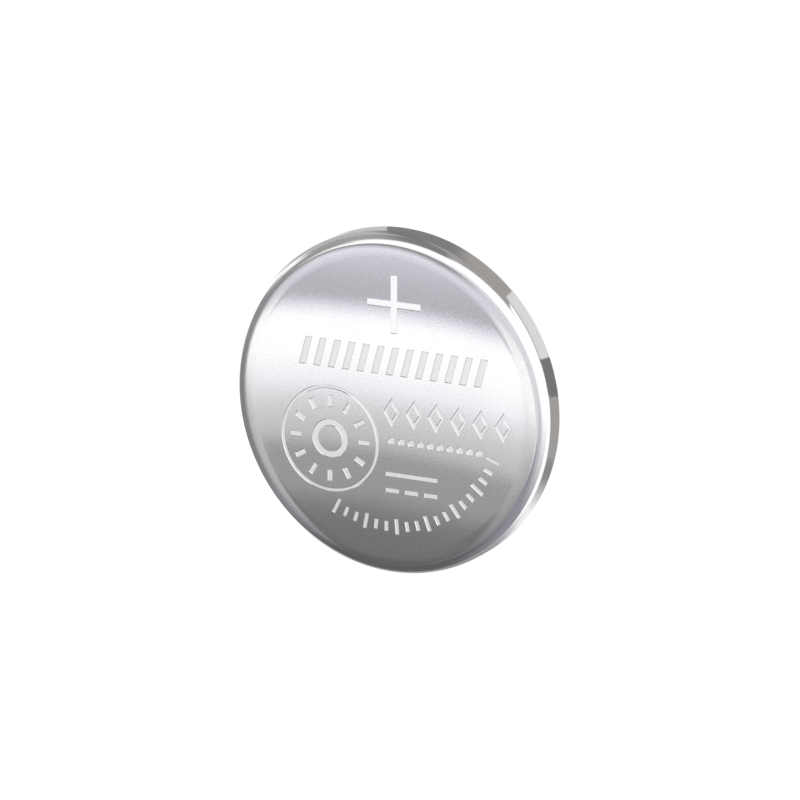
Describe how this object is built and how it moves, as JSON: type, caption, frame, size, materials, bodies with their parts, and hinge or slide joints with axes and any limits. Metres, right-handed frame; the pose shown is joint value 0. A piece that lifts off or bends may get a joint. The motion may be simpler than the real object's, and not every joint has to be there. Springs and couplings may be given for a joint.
{
  "type": "lithium coin cell",
  "caption": "Round flat lithium coin cell: a steel can curled over a plastic gasket and a shouldered cap, with its electrodes, separator and collector ring inside.",
  "frame": {"origin": "middle of the negative cap's flat face, on which the cell lies", "axes": "+Z along the cell's axis, from the negative cap to the positive face; +X and +Y lie in that face"},
  "size_m": [0.02, 0.02, 0.0032],
  "materials": {
    "can_steel": "satin rolled steel, nickel plated",
    "cap_steel": "pear-skin matt steel, nickel plated",
    "ring_steel": "stainless steel",
    "gasket_plastic": "natural polypropylene",
    "cathode_powder": "pressed manganese dioxide powder, matt and near black",
    "separator_cloth": "non-woven polypropylene cloth",
    "lithium_metal": "rolled lithium foil, dull silver"
  },
  "bodies": {
    "root": {"positive_can": "can_steel", "cathode_collector_ring": "ring_steel", "cathode_pellet": "cathode_powder", "separator": "separator_cloth", "lithium_disc": "lithium_metal", "gasket": "gasket_plastic", "negative_cap": "cap_steel"}
  },
  "joints": []
}
